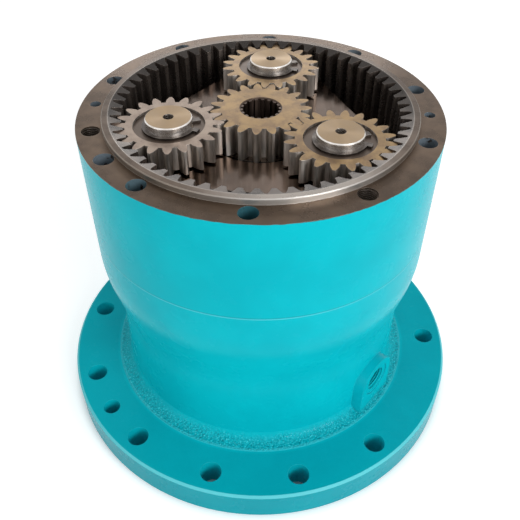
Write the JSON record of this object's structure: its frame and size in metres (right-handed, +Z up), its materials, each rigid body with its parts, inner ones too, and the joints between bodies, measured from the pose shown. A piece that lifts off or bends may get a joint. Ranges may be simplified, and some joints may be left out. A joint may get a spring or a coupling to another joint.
{
  "type": "planetary gear reducer",
  "caption": "Turquoise flanged swing-drive reducer with an open top: sun, planets and carrier turn inside a toothed ring, and a splined hub gives the slow output below.",
  "frame": {"origin": "centre of the flange's foot face, on the main axis", "axes": "+Z up along the main axis towards the open gear side, +X right and +Y away in the picture's view"},
  "size_m": [0.462, 0.462, 0.3614],
  "materials": {
    "turquoise_paint": "gloss turquoise enamel over a cast body",
    "ring_gear_finish": "turquoise enamel outside, ground and oiled steel on the top face and the teeth",
    "cover_steel": "machined steel, dull",
    "seal_rubber": "black nitrile rubber",
    "black_steel": "black oxide",
    "ground_steel": "turned and ground bright",
    "cast_hub": "machined casting, oiled",
    "carrier_steel": "satin milled plate, oiled",
    "gear_steel": "case hardened, tan heat tint on the faces",
    "bronze": "bronze bush",
    "washer_steel": "ground steel, oiled"
  },
  "bodies": {
    "housing": {"casing": "turquoise_paint", "ring_gear": "ring_gear_finish", "dowel_pins": "ground_steel", "upper_bearing_cup": "ground_steel", "lower_bearing_cup": "ground_steel", "seal_cover": "cover_steel", "cover_o_ring": "seal_rubber", "seal_cover_screws": "black_steel", "shaft_seal": "seal_rubber"},
    "output": {"output_hub": "cast_hub", "upper_bearing_cone": "ground_steel", "lower_bearing_cone": "ground_steel", "bearing_spacer": "cover_steel", "bearing_lock_nut": "black_steel", "second_stage_planet_pins": "ground_steel", "second_stage_planet_bushes": "bronze", "second_stage_thrust_washers": "washer_steel", "second_stage_retaining_washers": "washer_steel", "second_stage_circlips": "washer_steel", "second_sun_thrust_washer": "washer_steel"},
    "upper_rollers": {"upper_bearing_rollers": "ground_steel"},
    "lower_rollers": {"lower_bearing_rollers": "ground_steel"},
    "first_carrier": {"first_carrier": "carrier_steel", "second_sun_gear": "gear_steel", "sun_thrust_ring": "washer_steel", "first_stage_planet_pins": "ground_steel", "first_stage_planet_bushes": "bronze", "first_stage_thrust_washers": "washer_steel", "first_stage_retaining_washers": "washer_steel", "first_stage_circlips": "washer_steel"},
    "first_sun": {"first_sun_gear": "gear_steel"},
    "second_planet_1": {"second_stage_planet_gear_1": "gear_steel"},
    "second_planet_2": {"second_stage_planet_gear_2": "gear_steel"},
    "second_planet_3": {"second_stage_planet_gear_3": "gear_steel"},
    "first_planet_1": {"first_stage_planet_gear_1": "gear_steel"},
    "first_planet_2": {"first_stage_planet_gear_2": "gear_steel"},
    "first_planet_3": {"first_stage_planet_gear_3": "gear_steel"}
  },
  "joints": [
    {"name": "output_spin", "type": "hinge", "parent": "housing", "child": "output", "pos_m": [0, 0, 0.12], "axis": [0, 0, 1], "continuous": true},
    {"name": "upper_rollers_spin", "type": "hinge", "parent": "housing", "child": "upper_rollers", "pos_m": [0, 0, 0.202], "axis": [0, 0, 1], "continuous": true},
    {"name": "lower_rollers_spin", "type": "hinge", "parent": "housing", "child": "lower_rollers", "pos_m": [0, 0, 0.05], "axis": [0, 0, 1], "continuous": true},
    {"name": "first_carrier_spin", "type": "hinge", "parent": "housing", "child": "first_carrier", "pos_m": [0, 0, 0.3], "axis": [0, 0, 1], "continuous": true},
    {"name": "first_sun_spin", "type": "hinge", "parent": "housing", "child": "first_sun", "pos_m": [0, 0, 0.338], "axis": [0, 0, 1], "continuous": true},
    {"name": "second_planet_1_spin", "type": "hinge", "parent": "output", "child": "second_planet_1", "pos_m": [0.07599, 0.04387, 0.28], "axis": [0, 0, 1], "continuous": true},
    {"name": "second_planet_2_spin", "type": "hinge", "parent": "output", "child": "second_planet_2", "pos_m": [-0.07599, 0.04387, 0.28], "axis": [0, 0, 1], "continuous": true},
    {"name": "second_planet_3_spin", "type": "hinge", "parent": "output", "child": "second_planet_3", "pos_m": [0, -0.08775, 0.28], "axis": [0, 0, 1], "continuous": true},
    {"name": "first_planet_1_spin", "type": "hinge", "parent": "first_carrier", "child": "first_planet_1", "pos_m": [0.0104, 0.0899, 0.342], "axis": [0, 0, 1], "continuous": true},
    {"name": "first_planet_2_spin", "type": "hinge", "parent": "first_carrier", "child": "first_planet_2", "pos_m": [-0.08482, -0.03155, 0.342], "axis": [0, 0, 1], "continuous": true},
    {"name": "first_planet_3_spin", "type": "hinge", "parent": "first_carrier", "child": "first_planet_3", "pos_m": [0.07122, -0.05584, 0.342], "axis": [0, 0, 1], "continuous": true}
  ],
  "couplings": [
    {"joint": "upper_rollers_spin", "follows": "output_spin", "ratio": 0.4504},
    {"joint": "lower_rollers_spin", "follows": "output_spin", "ratio": 0.44602},
    {"joint": "first_carrier_spin", "follows": "output_spin", "ratio": 4.5882},
    {"joint": "first_sun_spin", "follows": "output_spin", "ratio": 19.319},
    {"joint": "second_planet_1_spin", "follows": "output_spin", "ratio": -2.7727},
    {"joint": "second_planet_2_spin", "follows": "output_spin", "ratio": -2.7727},
    {"joint": "second_planet_3_spin", "follows": "output_spin", "ratio": -2.7727},
    {"joint": "first_planet_1_spin", "follows": "output_spin", "ratio": -13.994},
    {"joint": "first_planet_2_spin", "follows": "output_spin", "ratio": -13.994},
    {"joint": "first_planet_3_spin", "follows": "output_spin", "ratio": -13.994}
  ]
}
